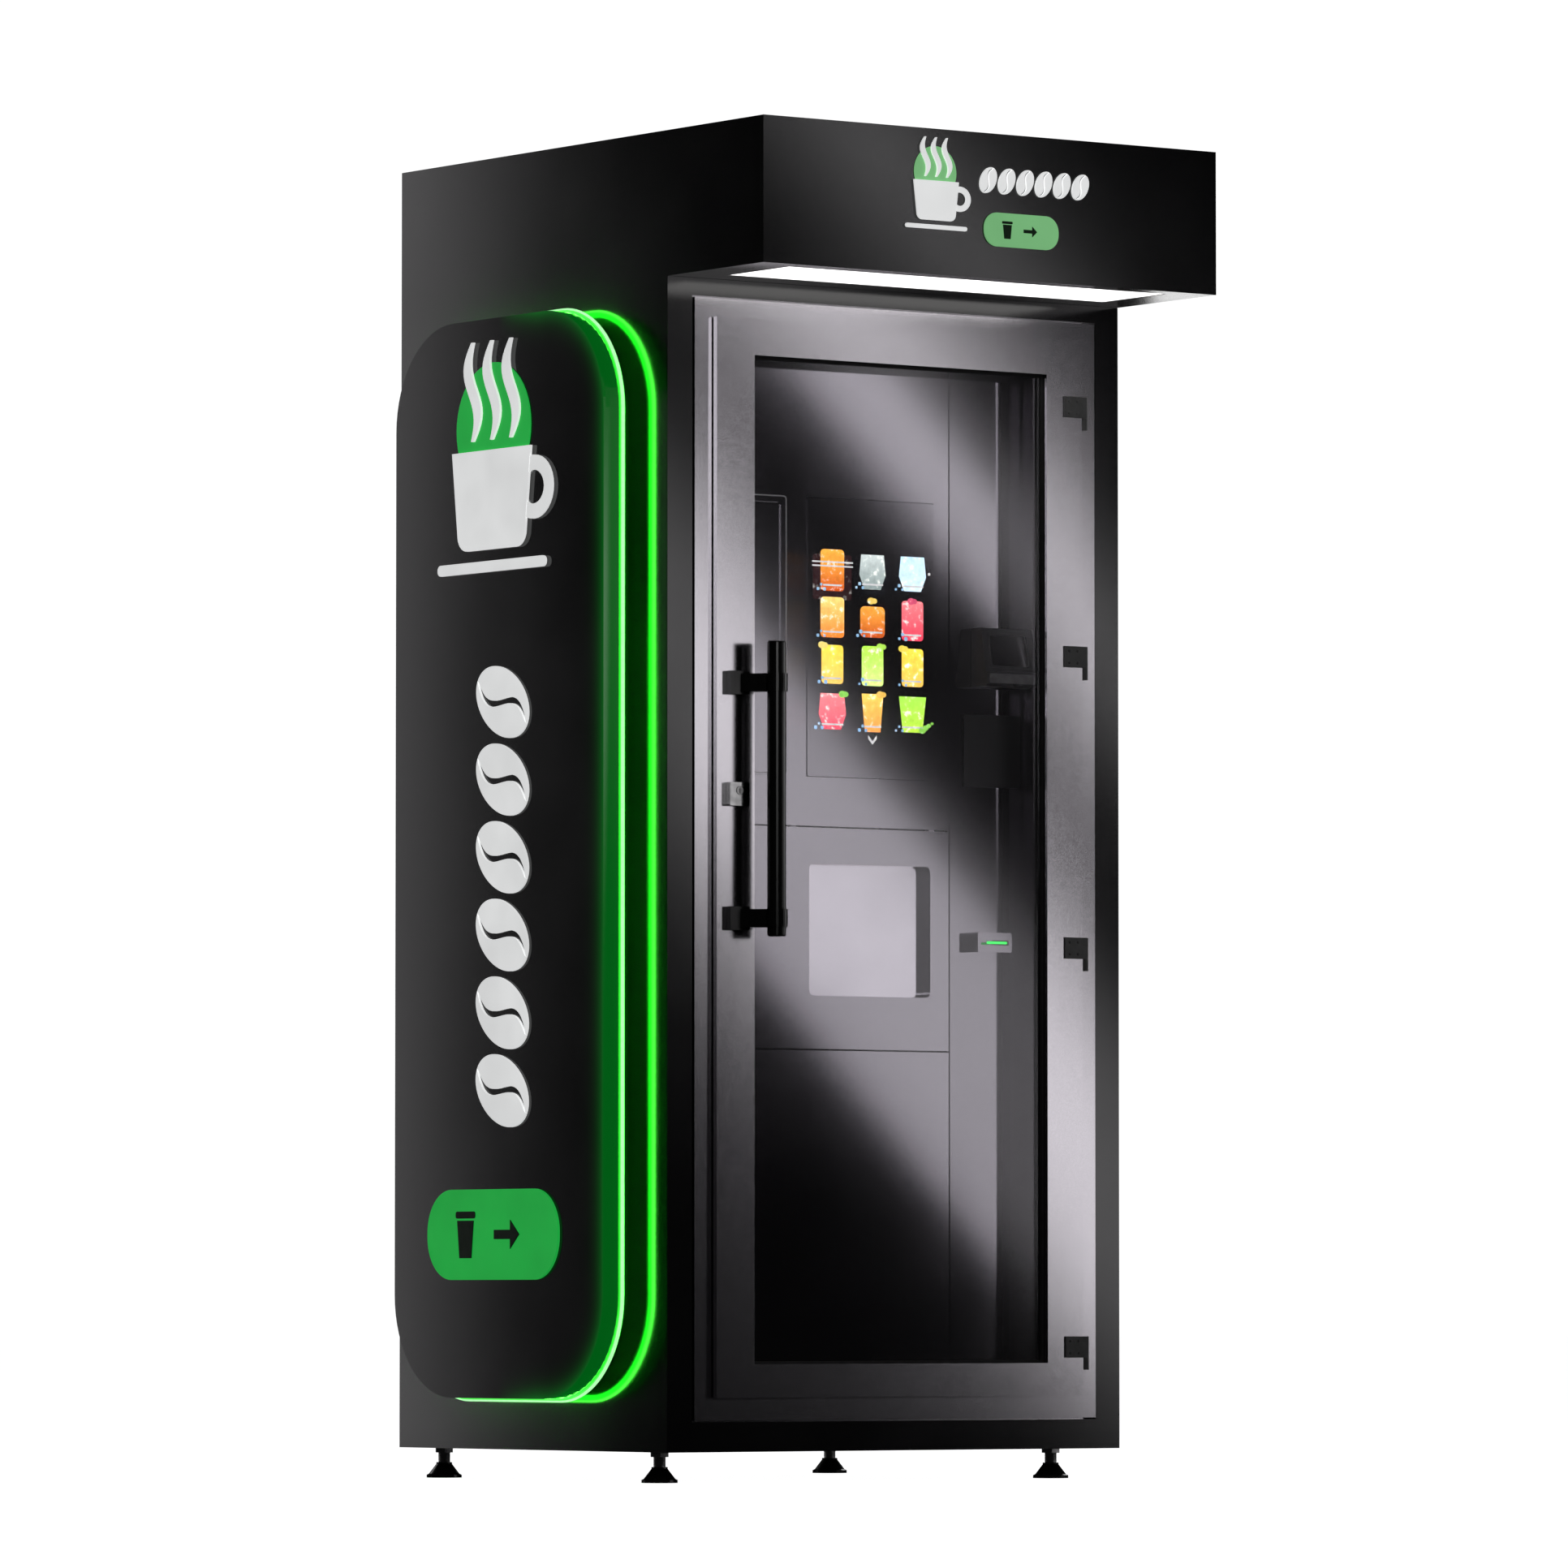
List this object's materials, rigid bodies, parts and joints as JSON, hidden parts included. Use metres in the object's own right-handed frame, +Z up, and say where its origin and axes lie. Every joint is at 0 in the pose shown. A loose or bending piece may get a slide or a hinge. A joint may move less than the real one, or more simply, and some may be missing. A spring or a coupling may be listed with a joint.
{
  "type": "hot coffee vending machine",
  "caption": "Free-standing coffee vending kiosk with a glazed hinged door, lit canopy, halo-lit side sign, touchscreen machine behind the glass and levelling feet.",
  "frame": {"origin": "on the floor under the centre of the whole outline", "axes": "+X to the right seen from the front, +Y to the back, +Z up; the door faces -Y"},
  "size_m": [1.035, 1.098, 2.3],
  "materials": {
    "black_paint": "satin powder coat",
    "grey_metal": "fine-grained satin",
    "machine_paint": "satin paint",
    "black_plastic": "gloss",
    "matte_plastic": "fine texture",
    "rubber": "matt",
    "steel": "brushed",
    "dark_chrome": "polished black chrome",
    "glass": "tinted, lightly frosted",
    "sign_face": "satin powder coat",
    "led_white": "opal diffuser",
    "led_green": "opal silicone"
  },
  "bodies": {
    "cabinet": {"base_frame": "black_paint", "left_side_panel": "black_paint", "right_side_panel": "black_paint", "back_panel": "black_paint", "roof_panel": "black_paint", "canopy_fascia": "black_paint", "canopy_soffit": "black_paint", "front_surround": "black_paint", "sign_back_frame": "black_paint", "hinge_a_frame_half": "black_paint", "hinge_b_frame_half": "black_paint", "hinge_c_frame_half": "black_paint", "hinge_d_frame_half": "black_paint", "door_frame": "grey_metal", "machine_case": "machine_paint", "upper_front_panel": "machine_paint", "niche_front_panel": "machine_paint", "lower_front_panel": "machine_paint", "payment_panel": "machine_paint", "menu_frame": "machine_paint", "reader_bezel": "machine_paint", "niche_liner": "machine_paint", "touchscreen": "black_plastic", "foot_front_left": "black_plastic", "foot_front_right": "black_plastic", "foot_back_left": "black_plastic", "foot_back_right": "black_plastic", "card_terminal": "matte_plastic", "reader_cover_plate": "matte_plastic", "bean_hopper": "matte_plastic", "grounds_bin": "matte_plastic", "water_tank": "matte_plastic", "fan_housing": "matte_plastic", "canopy_lamp_tray": "steel", "drip_tray": "steel", "brew_group": "steel", "grinder": "steel", "boiler": "steel", "control_box": "steel", "sign_plate": "sign_face", "canopy_light_panel": "led_white", "sign_led_strip": "led_green"},
    "door": {"door_leaf": "grey_metal", "door_glass": "glass", "glass_gasket": "rubber", "door_seal": "rubber", "handle_tube": "black_plastic", "handle_arm_top": "black_plastic", "handle_arm_bottom": "black_plastic", "lock_escutcheon": "dark_chrome", "lock_case": "steel", "hinge_a_leaf_half": "black_paint", "hinge_b_leaf_half": "black_paint", "hinge_c_leaf_half": "black_paint", "hinge_d_leaf_half": "black_paint"},
    "lock_plug": {"lock_plug": "steel"},
    "lock_bolt": {"lock_bolt": "steel"},
    "cup_hatch": {"cup_hatch": "machine_paint"},
    "brew_piston": {"brew_piston": "steel"},
    "fan_rotor": {"fan_rotor": "matte_plastic"}
  },
  "joints": [
    {"name": "door_hinge", "type": "hinge", "parent": "cabinet", "child": "door", "pos_m": [0.433, -0.281, 1.1], "axis": [0, 0, 1], "range_deg": [0, 110]},
    {"name": "lock_turn", "type": "hinge", "parent": "door", "child": "lock_plug", "pos_m": [-0.317, -0.279, 1.177], "axis": [0, 1, 0], "range_deg": [0, 90]},
    {"name": "lock_bolt_slide", "type": "slide", "parent": "door", "child": "lock_bolt", "axis": [-1, 0, 0], "range_m": [0, 0.014]},
    {"name": "cup_hatch_slide", "type": "slide", "parent": "cabinet", "child": "cup_hatch", "axis": [0, 0, 1], "range_m": [0, 0.23]},
    {"name": "brew_piston_slide", "type": "slide", "parent": "cabinet", "child": "brew_piston", "axis": [0, 0, -1], "range_m": [0, 0.09]},
    {"name": "fan_spin", "type": "hinge", "parent": "cabinet", "child": "fan_rotor", "pos_m": [0.035, 0.51, 2.13], "axis": [0, 1, 0], "continuous": true}
  ],
  "couplings": [
    {"joint": "lock_turn", "follows": "lock_bolt_slide", "rad_per_m": 112.2}
  ]
}
